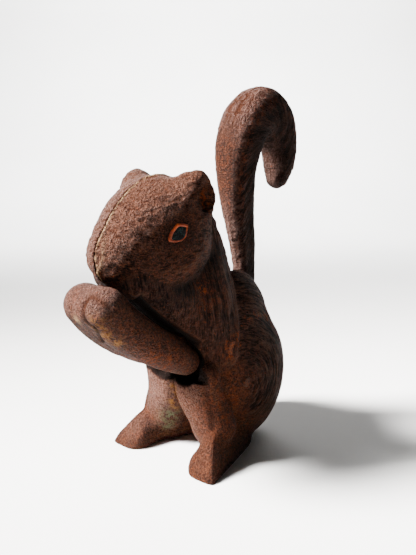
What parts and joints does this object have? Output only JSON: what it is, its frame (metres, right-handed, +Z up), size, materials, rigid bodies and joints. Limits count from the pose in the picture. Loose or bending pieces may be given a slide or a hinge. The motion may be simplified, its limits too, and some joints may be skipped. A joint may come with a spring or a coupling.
{
  "type": "nutcracker",
  "caption": "Cast-iron squirrel nutcracker: pulling the tail back swings the forelegs up to the chin and cracks the nut held between them.",
  "frame": {"origin": "on the plane of the soles, under the middle of the length and width", "axes": "+X towards the squirrel's left, -Y the way it faces, +Z up"},
  "size_m": [0.0548, 0.1242, 0.1479],
  "materials": {
    "cast_iron_body": "dark brown rust patina over pitted sand-cast iron, with orange rust specks",
    "cast_iron_lever": "dark brown rust patina, worn smoother on the tail where it is held",
    "rusty_steel": "rusted steel with orange edges, peened flush"
  },
  "bodies": {
    "body": {"body_left": "cast_iron_body", "body_right": "cast_iron_body", "pivot_pin": "rusty_steel", "neck_rivet": "rusty_steel", "haunch_rivet": "rusty_steel"},
    "lever": {"tail_lever": "cast_iron_lever"}
  },
  "joints": [
    {"name": "lever_pivot", "type": "hinge", "parent": "body", "child": "lever", "pos_m": [0, -0.00335, 0.046], "axis": [1, 0, 0], "range_deg": [0, 16]}
  ]
}
